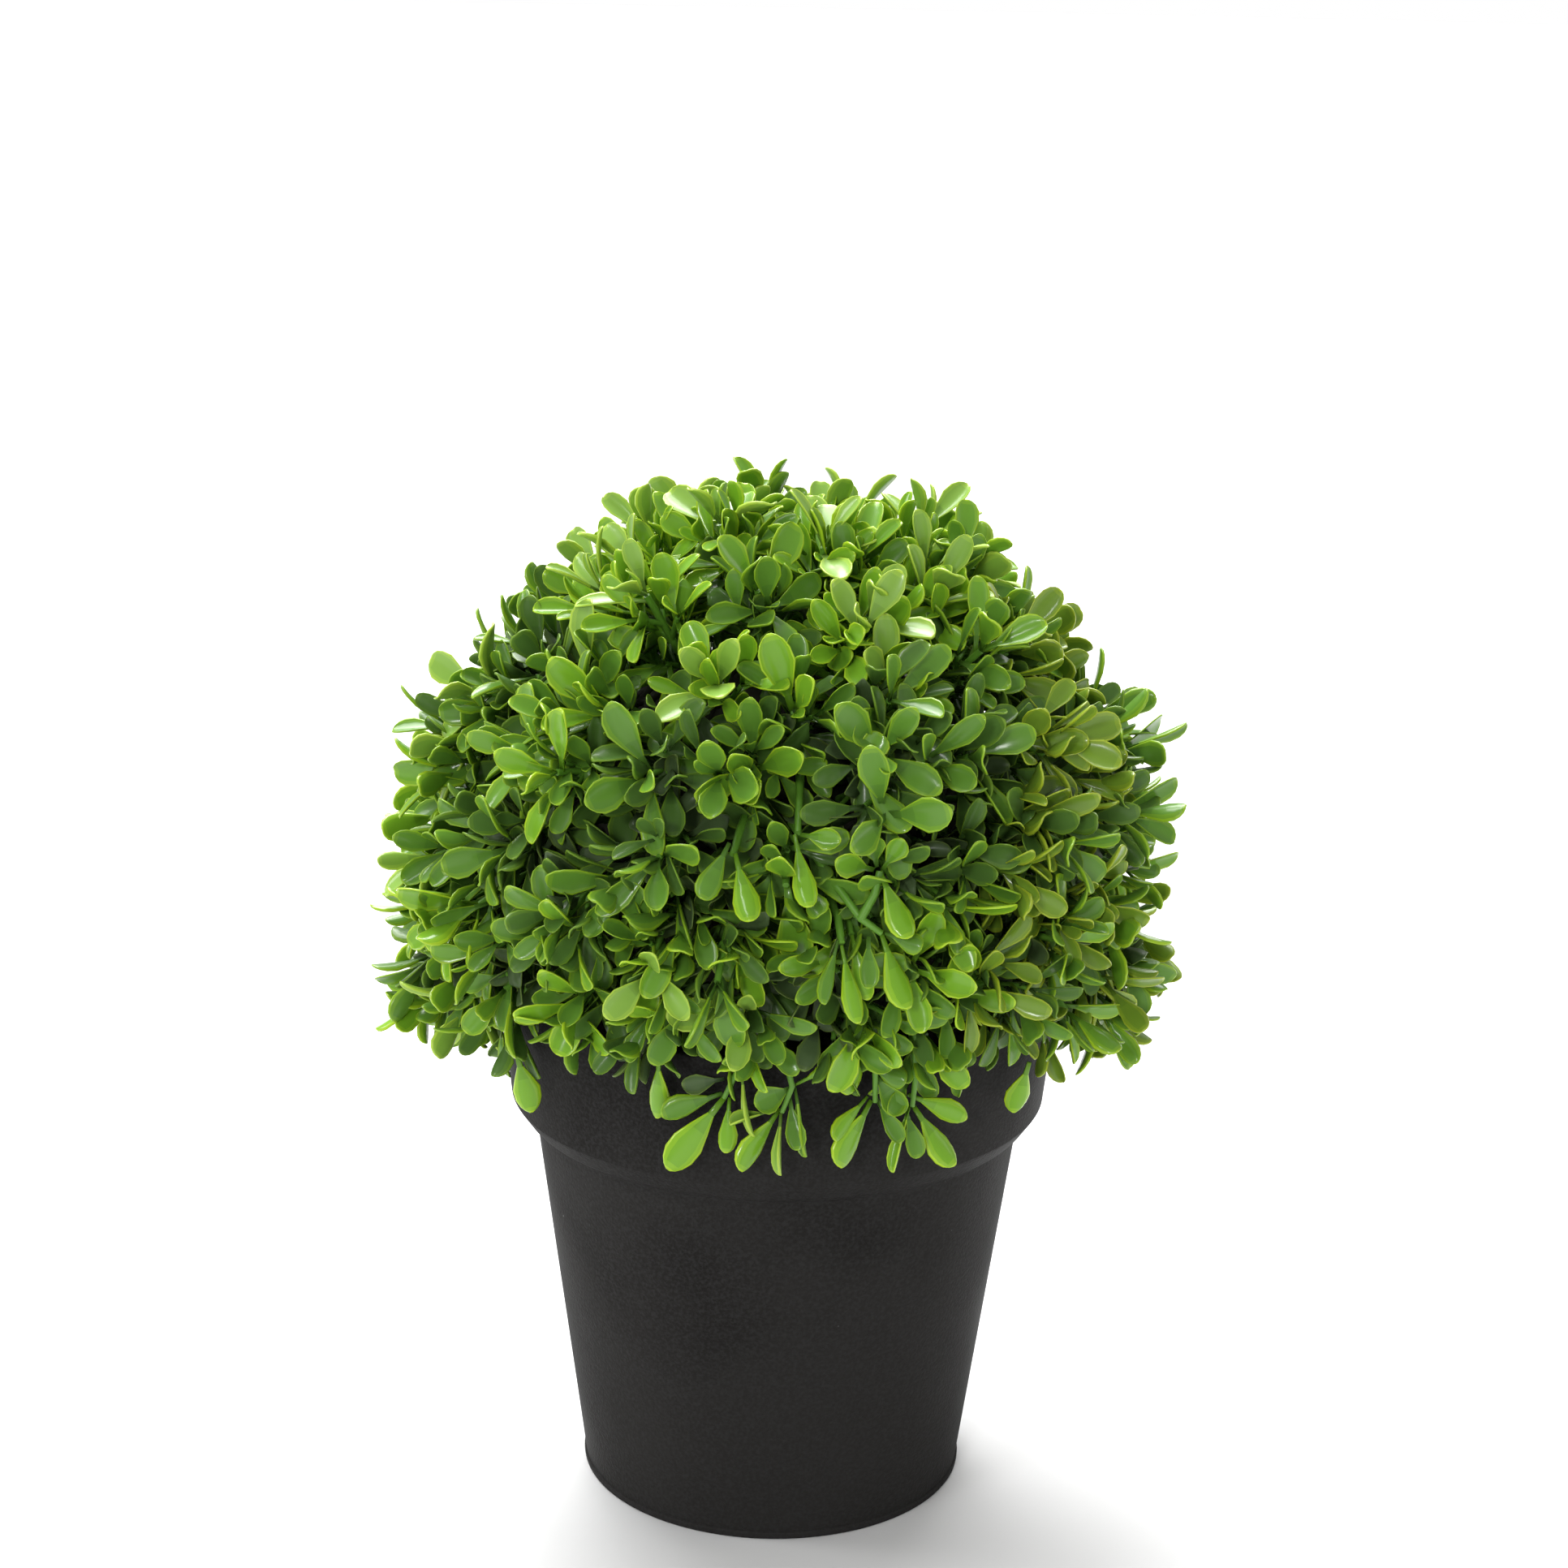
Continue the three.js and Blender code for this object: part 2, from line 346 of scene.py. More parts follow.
# ======== node trees for what repeats
class Tree:
    """A geometry tree with named inputs, and the modifier that runs it."""

    def __init__(self, name, inputs):
        self.group = bpy.data.node_groups.new(name, "GeometryNodeTree")
        for label, kind in inputs:
            self.group.interface.new_socket(label, in_out="INPUT", socket_type=kind)
        self.group.interface.new_socket("Made", in_out="OUTPUT", socket_type="NodeSocketGeometry")
        self.entry = self.group.nodes.new("NodeGroupInput").outputs
        self.exit = self.group.nodes.new("NodeGroupOutput").inputs

    def node(self, kind, links=None, values=None, **settings):
        node = self.group.nodes.new(kind)
        for key, value in settings.items():
            setattr(node, key, value)
        set_values(node, values or {})
        for key, source in (links or {}).items():
            self.group.links.new(source, node.inputs[key])
        return node

    def attribute(self, name, kind):
        node = self.node("GeometryNodeInputNamedAttribute", values={"Name": name}, data_type=kind)
        return node.outputs["Attribute"]

    def swept(self, curve, section_links, section_values):
        """A round bar along the curve, with closed ends."""
        section = self.node("GeometryNodeCurvePrimitiveCircle", section_links, section_values)
        links = {"Curve": curve, "Profile Curve": section.outputs["Curve"]}
        return self.node("GeometryNodeCurveToMesh", links, {"Fill Caps": True})

    def close(self, made):
        self.group.links.new(made, self.exit["Made"])

    def close_in_finish(self, made):
        """Ends the tree with what it made, realized and in its one finish."""
        whole = self.node("GeometryNodeRealizeInstances", {"Geometry": made})
        coloured = self.node("GeometryNodeSetMaterial", {
            "Geometry": whole.outputs[0], "Material": self.entry["Finish"],
        })
        self.close(coloured.outputs[0])

    def run(self, piece, name, **values):
        """The tree's result on this object as a new plain mesh object; the object itself is removed."""
        modifier = piece.modifiers.new("maker", "NODES")
        modifier.node_group = self.group
        for item in self.group.interface.items_tree:
            key = item.name.lower().replace(" ", "_")
            if item.in_out == "INPUT" and key in values:
                modifier[item.identifier] = values[key]
        graph = bpy.context.evaluated_depsgraph_get()
        mesh = bpy.data.meshes.new_from_object(piece.evaluated_get(graph))
        piece.modifiers.remove(modifier)
        bpy.data.objects.remove(piece)
        mesh.name = name
        return placed(name, mesh)


def leaf_tree():
    """Sets one of the leaf shapes on each station, turned and sized by the station's own values."""
    tree = Tree("leaf_sprays", [
        ("Stations", "NodeSocketGeometry"),
        ("Leaf Shapes", "NodeSocketCollection"),
        *[(f"{zone.title()} Finish", "NodeSocketMaterial") for zone in ZONES],
    ])
    shapes = tree.node(
        "GeometryNodeCollectionInfo", {"Collection": tree.entry["Leaf Shapes"]},
        {"Separate Children": True, "Reset Children": True},
    )
    turn = tree.node("FunctionNodeEulerToRotation", {"Euler": tree.attribute("turn", "FLOAT_VECTOR")})
    sprays = tree.node(
        "GeometryNodeInstanceOnPoints",
        {
            "Points": tree.entry["Stations"],
            "Instance": shapes.outputs["Instances"],
            "Instance Index": tree.attribute("shape", "INT"),
            "Rotation": turn.outputs["Rotation"],
            "Scale": tree.attribute("size", "FLOAT_VECTOR"),
        },
        {"Pick Instance": True},
    )
    whole = tree.node("GeometryNodeRealizeInstances", {"Geometry": sprays.outputs["Instances"]})
    made = whole.outputs[0]
    zone_of_face = tree.attribute("zone", "INT")
    for index, zone in enumerate(ZONES):
        # Sockets 2 and 3 are the two whole numbers that are compared.
        chosen = tree.node(
            "FunctionNodeCompare", {2: zone_of_face}, {3: index}, data_type="INT", operation="EQUAL",
        )
        made = tree.node("GeometryNodeSetMaterial", {
            "Geometry": made,
            "Selection": chosen.outputs[0],
            "Material": tree.entry[f"{zone.title()} Finish"],
        }).outputs[0]
    tree.close(made)
    return tree


def twig_tree():
    """Gives the drawn lines of the sprigs their thickness."""
    tree = Tree("moulded_twigs", [
        ("Lines", "NodeSocketGeometry"),
        ("Sides", "NodeSocketInt"),
        ("Finish", "NodeSocketMaterial"),
    ])
    middle = tree.node("GeometryNodeMeshToCurve", {"Mesh": tree.entry["Lines"]})
    thick = tree.node("GeometryNodeSetCurveRadius", {
        "Curve": middle.outputs["Curve"], "Radius": tree.attribute("girth", "FLOAT"),
    })
    twigs = tree.swept(thick.outputs["Curve"], {"Resolution": tree.entry["Sides"]}, {"Radius": 1.0})
    radius = tree.node("GeometryNodeInputRadius")
    tree.group.links.new(radius.outputs[0], twigs.inputs["Scale"])
    tree.close_in_finish(twigs.outputs["Mesh"])
    return tree


def core_tree():
    """The core: a closed ball, which with its dark finish stands in for the shade deep in the foliage,
    with raised honeycomb ribs, each one a round bar half sunk in it.
    """
    tree = Tree("openwork_core", [
        ("Empty Base", "NodeSocketGeometry"),
        ("Centre", "NodeSocketVector"),
        ("Radius", "NodeSocketFloat"),
        ("Bar", "NodeSocketFloat"),
        ("Finish", "NodeSocketMaterial"),
    ])
    ball = tree.node("GeometryNodeMeshIcoSphere", {"Radius": tree.entry["Radius"]}, {"Subdivisions": 4})
    honeycomb = tree.node("GeometryNodeDualMesh", {"Mesh": ball.outputs["Mesh"]})
    middle = tree.node("GeometryNodeMeshToCurve", {"Mesh": honeycomb.outputs[0]})
    bars = tree.swept(middle.outputs["Curve"], {"Radius": tree.entry["Bar"]}, {"Resolution": 6})
    shell = tree.node("GeometryNodeJoinGeometry")
    tree.group.links.new(bars.outputs["Mesh"], shell.inputs["Geometry"])
    tree.group.links.new(ball.outputs["Mesh"], shell.inputs["Geometry"])
    raised = tree.node("GeometryNodeTransform", {
        "Geometry": shell.outputs["Geometry"], "Translation": tree.entry["Centre"],
    })
    tree.close_in_finish(raised.outputs["Geometry"])
    return tree


# ======== leaf shapes
# Where a leaf's mesh is cut: along its length, then across its upper side and across its lower side.
LEAF_CUTS = (
    (0.0, 0.24, 0.46, 0.66, 0.82, 0.92, 0.975, 1.0),
    (-1.0, -0.9, -0.7, 0.0, 0.7, 0.9, 1.0),
    (-1.0, -0.88, -0.6, 0.6, 0.88, 1.0),
)
# The same for the plainer leaves deep inside the ball.
INNER_CUTS = (
    (0.0, 0.3, 0.58, 0.84, 1.0),
    (-1.0, -0.4, 0.4, 1.0),
    (-1.0, 0.0, 1.0),
)
# Each shape's width, cup, curl back towards the tip, and twist in degrees.
LEAF_SHAPES = (
    (1.00, 1.00, 0.10, 4),
    (1.06, 0.80, 0.22, -6),
    (0.92, 1.20, -0.08, 8),
    (0.86, 0.90, 0.26, -10),
    (1.10, 1.10, 0.04, 2),
    (0.80, 1.10, 0.16, 12),
    (1.02, 0.60, 0.30, -4),
    (0.96, 1.30, 0.12, 6),
)
INNER_SHAPES = (
    (1.00, 1.00, 0.15, 5),
    (0.90, 1.20, 0.30, -8),
    (1.08, 0.80, 0.05, 3),
)
# The broader shapes with a deep cup, which the laid leaves take.
SPOON_SHAPES = (0, 2, 4, 7)


def leaf_outline(t):
    """The leaf's width as a share of its widest, from the stalk at 0 to the tip at 1."""
    stalk, stalk_end, widest = 0.16, 0.15, 0.71
    if t > widest:
        return max(stalk, math.sqrt(1 - ((t - widest) / (1 - widest)) ** 2.1))
    share = max(0, (t - stalk_end) / (widest - stalk_end))
    return stalk + (1 - stalk) * share * share * (3 - 2 * share)


def leaf_zone(start, end, outer):
    """A face's zone, by its start and end along the leaf and how far out from the rib it reaches."""
    if end < 0.3:
        return PETIOLE
    if start > 0.95 or outer > 0.9:
        return MARGIN
    if start > 0.9 or outer > 0.7:
        return BORDER
    return HEART if end < 0.5 else BLADE


def leaf_shape(name, sizes, cuts, dice):
    """One closed leaf along +Y, its upper face to +Z, cupped across, curled along, with moulding nicks."""
    width, cup, curl, twist = sizes
    rows, upper_columns, lower_columns = cuts
    points, faces, zones = [], [], []
    nicks = dice.uniform(-0.025, 0.03, (len(rows), 2))
    sides = ((1, upper_columns), (-1, lower_columns))
    for side, columns in sides:
        for row, t in enumerate(rows):
            half = LEAF_HALF_WIDTH * width * leaf_outline(t)
            lift = -curl * LEAF_LENGTH * 0.5 * t ** 2.2
            roll = math.radians(twist) * t
            for u in columns:
                nick = 1 + (nicks[row][int(u > 0)] if abs(u) == 1 and row > 2 else 0)
                x = u * half * nick
                thick = LEAF_THICKNESS * (0.5 - 0.2 * abs(u)) * (1 if t < 1 else 0.7)
                z = cup * half * 0.42 * u * u + lift + side * thick
                points.append((
                    x * math.cos(roll) - z * math.sin(roll),
                    LEAF_LENGTH * t,
                    z * math.cos(roll) + x * math.sin(roll),
                ))

    def corner(side, row, column):
        if side == 1:
            return row * len(upper_columns) + column
        return len(rows) * len(upper_columns) + row * len(lower_columns) + column

    for side, columns in sides:
        for row in range(len(rows) - 1):
            for column in range(len(columns) - 1):
                face = (corner(side, row, column), corner(side, row, column + 1),
                        corner(side, row + 1, column + 1), corner(side, row + 1, column))
                outer = max(abs(columns[column]), abs(columns[column + 1]))
                faces.append(face if side == 1 else face[::-1])
                zones.append(BLADE if cuts is INNER_CUTS else leaf_zone(rows[row], rows[row + 1], outer))
    upper, lower = len(upper_columns) - 1, len(lower_columns) - 1
    for row in range(len(rows) - 1):
        faces.append((corner(-1, row, 0), corner(1, row, 0),
                      corner(1, row + 1, 0), corner(-1, row + 1, 0)))
        faces.append((corner(1, row, upper), corner(-1, row, lower),
                      corner(-1, row + 1, lower), corner(1, row + 1, upper)))
        zones += [leaf_zone(rows[row], rows[row + 1], 1)] * 2
    for row, end_zone in ((0, PETIOLE), (len(rows) - 1, MARGIN)):
        face = [corner(1, row, column) for column in range(upper, -1, -1)]
        face += [corner(-1, row, column) for column in range(lower + 1)]
        faces.append(face[::-1] if row else face)
        zones.append(end_zone)
    leaf = mesh_object(name, points, faces)
    smooth(leaf)
    leaf.data.attributes.new("zone", "INT", "FACE").data.foreach_set("value", zones)
    return leaf


def leaf_collection():
    """All the leaf shapes, the plainer inner ones last."""
    dice = np.random.default_rng(SEED)
    shapes = bpy.data.collections.new("leaf_shapes")
    kinds = [(sizes, LEAF_CUTS) for sizes in LEAF_SHAPES] + [(sizes, INNER_CUTS) for sizes in INNER_SHAPES]
    for index, (sizes, cuts) in enumerate(kinds):
        leaf = leaf_shape(f"leaf_shape_{index:02}", sizes, cuts, dice)
        bpy.context.scene.collection.objects.unlink(leaf)
        shapes.objects.link(leaf)
    return shapes


# ======== growth of the sprigs
def unit(vector):
    return vector / np.linalg.norm(vector)


def across(direction, angle):
    """A unit vector square to direction, turned by angle round it."""
    guide = np.array((0.0, 0.0, 1.0)) if abs(direction[2]) < 0.9 else np.array((1.0, 0.0, 0.0))
    first = unit(np.cross(direction, guide))
    second = np.cross(direction, first)
    return first * math.cos(angle) + second * math.sin(angle)


def pot_radius(height):
    """The pot's outer radius at a height."""
    if height > BAND_FOOT_Z:
        return BAND_FOOT_RADIUS + (RIM_RADIUS - BAND_FOOT_RADIUS) * (height - BAND_FOOT_Z) / BAND_HEIGHT
    return FOOT_RADIUS + (SHOULDER_RADIUS - FOOT_RADIUS) * max(height, 0) / BAND_FOOT_Z


def clear_of_pot(points):
    """True if every point is above the rim or outside the pot's wall."""
    return not any(
        z < POT_HEIGHT + 0.8 * MM and math.hypot(x, y) < pot_radius(z) + 0.7 * MM for x, y, z in points
    )


# The pairs of leaves at a twig's end: how far they open from it, their size, and how far back they stand.
ROSETTE_PAIRS = (
    (0.52, 0.92, 0.0),
    (0.98, 1.06, 2.0 * MM),
)
# The side twigs of a crown sprig and of a fringe sprig: the step on its stem, and their length in mm.
CROWN_TIERS = ((3, 8.5), (5, 8.0), (6, 6.0))
FRINGE_TIERS = ((4, 8.0), (6, 7.0))


class Growth:
    """Collects the leaves, by tone, and the twigs of a set of sprigs."""

    def __init__(self, seed):
        self.dice = np.random.default_rng(seed)
        self.leaves = {tone: [] for tone in LEAF_TONES}
        self.centres = []
        self.kept_clear = []
        self.twigs = []

    def has_room(self, foot, heart, tip, edge):
        """True if a leaf here clears the pot, the ball's outline, the latest leaves and the laid ones."""
        if not clear_of_pot((foot, heart, heart + edge, heart - edge, tip)):
            return False
        if np.any(tip < OUTLINE_LOW) or np.any(tip > OUTLINE_HIGH):
            return False
        latest = self.centres[-LATEST_LEAVES:]
        for taken, spacing in ((latest, LEAF_SPACING), (self.kept_clear, LAID_SPACING)):
            if taken and np.linalg.norm(np.array(taken) - heart, axis=1).min() < spacing:
                return False
        return True

    def leaf(self, foot, direction, face, tone, size, shape=None, checked=True):
        """A leaf from foot along direction, its upper side towards face, if there is room for it."""
        if shape is None:
            shape = int(self.dice.integers(len(LEAF_SHAPES)))
        along = unit(direction)
        face = unit(face - along * np.dot(face, along))
        side = np.cross(along, face)
        length = LEAF_LENGTH * size[1]
        heart = foot + along * length * 0.68
        tip = foot + along * length
        if not checked:
            self.kept_clear += [foot, heart, tip]
        elif not self.has_room(foot, heart, tip, side * LEAF_HALF_WIDTH * size[0]):
            return
        self.centres.append(heart)
        turn = (
            math.atan2(along[2], face[2]),
            -math.asin(max(-1, min(1, side[2]))),
            math.atan2(side[1], side[0]),
        )
        self.leaves[tone].append((foot, turn, size, shape))

    def fan(self, foot, axis, spread, angle, tone, size, inner=False):
        """A leaf that opens from the twig's axis by spread, at this angle round it, upper side inwards."""
        wobble = 0.12
        spread = spread + self.dice.normal(0, wobble)
        outward = across(axis, angle + self.dice.normal(0, wobble))
        direction = axis * math.cos(spread) + outward * math.sin(spread)
        face = axis * math.sin(spread) - outward * math.cos(spread)
        face = face + np.cross(direction, face) * self.dice.normal(0, 0.28)
        scale = size * self.dice.uniform(0.86, 1.12)
        wide = scale * self.dice.uniform(0.9, 1.1)
        shape = len(LEAF_SHAPES) + int(self.dice.integers(len(INNER_SHAPES))) if inner else None
        self.leaf(foot + direction * 0.3 * MM, direction, face, tone, (wide, scale, scale), shape)

    def rosette(self, foot, axis, angle, tone, size):
        """A twig's end: two crossing pairs of leaves, and sometimes a small young one between them."""
        opened = self.dice.uniform(0.75, 1.25)
        for pair, (spread, scale, back) in enumerate(ROSETTE_PAIRS):
            for half in (0, math.pi):
                turn = angle + pair * math.pi / 2 + half
                self.fan(foot - axis * back, axis, spread * opened, turn, tone, size * scale)
        if self.dice.random() < 0.35:
            self.fan(foot, axis, 0.2, self.dice.uniform(0, 6.28), tone, size * 0.6)

    def path(self, foot, direction, length, droop, steps):
        """Points of a twig that starts along direction and sinks by droop over its length."""
        points = [foot]
        step = length / steps
        for index in range(steps):
            sunk = direction + np.array((0, 0, -1.0)) * droop * ((index + 0.5) / steps)
            points.append(points[-1] + unit(sunk) * step)
        return points

    def sprig(self, foot, direction, length, droop, tones, size=1.0, tiers=CROWN_TIERS):
        """A main stem with tiers of side twigs in crossing pairs, each ending in leaves."""
        # Painted shade: the leaves deeper in the sprig take its darker tones, and the end rosette takes
        # the outer one.
        deep, inner, outer = tones
        points = self.path(foot, direction, length, droop, steps=8)
        self.twigs.append((points, MAIN_TWIG))
        angle = self.dice.uniform(0, 2 * math.pi)
        for tier, (place, reach) in enumerate(tiers):
            axis = unit(points[place + 1] - points[place - 1])
            start = points[place]
            for half in (0, math.pi):
                lean = across(axis, angle + tier * math.pi / 2 + half + self.dice.normal(0, 0.12))
                tilt = self.dice.normal(0.62, 0.08)
                twig_way = axis * math.cos(tilt) + lean * math.sin(tilt)
                run = reach * MM * self.dice.uniform(0.8, 1.15)
                side_points = self.path(start, twig_way, run, droop * 0.5, steps=3)
                if not clear_of_pot(side_points):
                    continue
                self.twigs.append((side_points, SIDE_TWIG))
                way = unit(side_points[-1] - side_points[-2])
                tone = deep if tier == 0 else inner
                if tier < 2:
                    spin = self.dice.uniform(0, math.pi)
                    for flip in (0, math.pi):
                        self.fan(side_points[1], way, 0.9, spin + flip, deep, size * 0.84, inner=True)
                self.rosette(side_points[-1], way, self.dice.uniform(0, math.pi), tone, size * 0.9)
        axis = unit(points[-1] - points[-2])
        self.rosette(points[-1], axis, angle + 0.4, outer, size * 1.04)


def fringe_low(bearing):
    """How low the sprig tips come at this bearing from the front: higher there, where the rim shows."""
    front_height, side_height = POT_HEIGHT + 3 * MM, POT_HEIGHT - 21 * MM
    front_end, blend_width = 0.7, 0.65
    share = min(max((abs(bearing) - front_end) / blend_width, 0), 1)
    share = share * share * (3 - 2 * share)
    return front_height + (side_height - front_height) * share


def tones_at(direction, dice):
    """A sprig's tones, deep to outer, the deeper ones darker as painted shade: paler at the crown as
    painted light, darker below the crown as painted shade, more olive to the right, else mixed greens.
    """
    chance = dice.random()
    if direction[0] > 0.55 and chance < 0.6:
        return "shade", "olive", "olive"
    if direction[2] > 0.68:
        return ("leaf", "fresh", "pale") if chance < 0.85 else ("shade", "mid", "leaf")
    if direction[2] > 0.15 and chance > 0.25:
        return ("shade", "mid", "leaf") if chance < 0.5 else ("deep", "shade", "mid")
    if chance < 0.15:
        return "shade", "mid", "pale"
    if chance < 0.6:
        return "shade", "mid", "fresh"
    if chance < 0.85:
        return "deep", "mid", "leaf"
    return "deep", "shade", "mid"


def crown_sprigs(growth):
    """Sprigs on evenly spread bearings round the core, down to a little under its middle."""
    dice = growth.dice
    count = int(4 * math.pi * TIP_RADIUS ** 2 / SPRIG_SPACING ** 2)
    golden = math.pi * (3 - math.sqrt(5))
    lowest = -0.12
    centre = np.array(BALL_CENTRE)
    for index in range(count):
        height = 1 - 2 * (index + 0.5) / count
        ring = math.sqrt(1 - height * height)
        way = unit(np.array((
            ring * math.cos(golden * index), ring * math.sin(golden * index), height,
        )) + dice.normal(0, 0.06, 3))
        if way[2] < lowest:
            continue
        tip = centre + way * (TIP_RADIUS + dice.normal(0, 2.2) * MM)
        frontal = max(0, -way[1]) ** 2
        droop = (0.35 + 0.6 * frontal) * (1 - way[2]) ** 1.2 + dice.uniform(0, 0.2)
        start = unit(way + np.array((0, 0, 0.28 * droop)))
        foot = centre + start * TWIG_FOOT_RADIUS
        reach = tip - foot
        rise = unit(unit(reach) + np.array((0, 0, 0.5 * droop)))
        growth.sprig(foot, rise, np.linalg.norm(reach) * 1.03, droop, tones_at(way, dice))


# Rings of sprigs that bend out over the rim: how many, foot radius and height, tip radius and height
# above the fringe's lowest line, all in mm.
FRINGE_RINGS = (
    (25, 47, 20, 76.5, 21),
    (23, 46, 14, 72.5, 10),
    (20, 47, 10, 67, 3),
)


def fringe_sprigs(growth):
    """The lowest sprigs, which bend out and down over the rim all round."""
    dice = growth.dice
    for ring, (count, foot_radius, foot_height, tip_radius, tip_rise) in enumerate(FRINGE_RINGS):
        for index in range(count):
            bearing = 2 * math.pi * (index + ring / 3 + dice.uniform(-0.2, 0.2)) / count - math.pi
            outward = np.array((math.sin(bearing), -math.cos(bearing), 0))
            foot = outward * foot_radius * MM + np.array((0, 0, POT_HEIGHT + foot_height * MM))
            tip_z = fringe_low(bearing) + (tip_rise + dice.normal(0, 2)) * MM
            tip = outward * (tip_radius + dice.normal(0, 1.6)) * MM + np.array((0, 0, tip_z))
            reach = tip - foot
            length = np.linalg.norm(reach)
            fall = -reach[2] / length
            droop = 0.5 + 1.7 * fall
            rise = unit(unit(reach) + np.array((0, 0, 0.5 * droop)))
            tones = tones_at(outward, dice)
            growth.sprig(foot, rise, length * 1.08, droop, tones, size=0.96, tiers=FRINGE_TIERS)


# Sprigs that hang over the front of the rim. A twig is a run of (bearing in degrees, height, distance off
# the rim's radius). A leaf is its foot (bearing, height), its tip (bearing, height), its width as a share
# of a common leaf's, its tone, and the side that it turns outwards; "ahead" turns its back straight to the
# front. Heights and distances are in mm.
HANGING_TWIGS = (
    ((-2, 133, -4), (-5, 128.5, 3), (-7.2, 122.5, 5), (-9.2, 117, 4.5)),
    ((0, 134, -4), (0.9, 128, 3), (2.6, 120.3, 5), (0.9, 114.5, 5)),
    ((15, 139, 0), (16.3, 132, 5), (16.8, 124, 6), (17.2, 116, 5)),
    ((24, 137, 0), (24.4, 129, 5), (24.2, 120, 6), (24.2, 114, 5)),
)
HANGING_LEAVES = (
    (
        (-9.3, 116.7, -18.3, 100.7, 1.08, "fresh", "back"),
        (-9.6, 117.6, -19.5, 112.7, 0.86, "mid", "back"),
        (-8.4, 116.8, -8.5, 105.8, 0.76, "fresh", "back"),
        (-6.4, 123.6, -4.2, 109.8, 0.62, "pale", "edge"),
        (-9.4, 121.0, -15.9, 120.1, 0.78, "deep", "front"),
    ),
    (
        (3.2, 120.1, 11.9, 127.2, 0.66, "fresh", "back"),
        (2.8, 119.7, -3.6, 117.0, 0.9, "mid", "front"),
        (0.7, 114.8, -6.1, 102.3, 0.98, "fresh", "back"),
        (0.9, 114.2, 0.3, 101.3, 0.62, "pale", "edge"),
        (-1.4, 114.0, -7.8, 112.5, 0.5, "pale", "edge"),
        (3.2, 119.7, 5.5, 105.6, 0.45, "mid", "edge"),
        (2.2, 117.5, 3.4, 107.0, 0.8, "mid", "front"),
    ),
    (
        (16.4, 130.5, 11.0, 119.4, 1.08, "fresh", "back"),
        (16.2, 116.8, 9.4, 109.1, 0.7, "fresh", "back"),
        (17.0, 115.8, 10.6, 102.9, 1.02, "fresh", "back"),
        (17.7, 116.4, 21.2, 107.2, 0.72, "mid", "front"),
        (17.2, 122.0, 21.6, 113.6, 0.92, "mid", "front"),
        (16.6, 123.0, 22.0, 121.0, 0.9, "mid", "back"),
    ),
    (
        (23.9, 116.1, 34.2, 109.6, 0.92, "fresh", "back"),
        (25.1, 113.4, 31.5, 99.8, 1.02, "fresh", "back"),
        (23.5, 113.0, 24.6, 103.0, 0.72, "mid", "front"),
        (24.5, 114.1, 19.9, 100.6, 0.42, "fresh", "edge"),
        (24.0, 119.6, 18.6, 114.0, 0.8, "mid", "front"),
    ),
)
# Single leaves of the fringe that reach down over the band.
FRINGE_LEAVES = (
    (34.1, 125.0, 33.7, 113.5, 0.42, "mid", "edge"),
    (48.3, 118.5, 48.8, 105.2, 1.0, "fresh", "ahead"),
    (-20.0, 126.2, -21.8, 109.9, 0.84, "fresh", "back"),
    (-51.1, 117.5, -51.2, 103.2, 1.05, "fresh", "ahead"),
)


def off_rim(bearing, height, distance):
    """A point at a bearing in degrees, and a height and a distance off the rim's radius in mm."""
    angle = math.radians(bearing)
    radius = RIM_RADIUS + distance * MM
    return np.array((math.sin(angle) * radius, -math.cos(angle) * radius, height * MM))


def off_ball(bearing, height, distance):
    """The same off the round of the ball's sprig tips at that height."""
    rise = height * MM - BALL_CENTRE.z
    round_radius = math.sqrt(TIP_RADIUS ** 2 - rise ** 2)
    return off_rim(bearing, height, (round_radius - RIM_RADIUS) / MM + distance)


def laid_leaf(growth, row, place=off_rim, foot_off=3.6, tip_off=7.6):
    """A leaf laid by its row, with its foot and tip this far off the rim or the ball, in mm."""
    foot_bearing, foot_height, tip_bearing, tip_height, width, tone, side = row
    foot = place(foot_bearing, foot_height, foot_off)
    tip = place(tip_bearing, tip_height, tip_off)
    outward = unit(np.array((foot[0], foot[1], 0)))
    if side == "ahead":
        outward = np.array((0.0, -1.0, 0.0))
    along = tip - foot
    edge_on = unit(np.cross(along, outward))
    turned_in = {"back": -1.0, "ahead": -1.0, "front": 1.0, "edge": 0.25}[side]
    face = outward * turned_in + edge_on * (1.0 if side == "edge" else growth.dice.normal(0, 0.18))
    size = np.linalg.norm(along) / LEAF_LENGTH
    shape = int(growth.dice.choice(SPOON_SHAPES))
    growth.leaf(foot, along, face, tone, (width, size, 1.0), shape, checked=False)


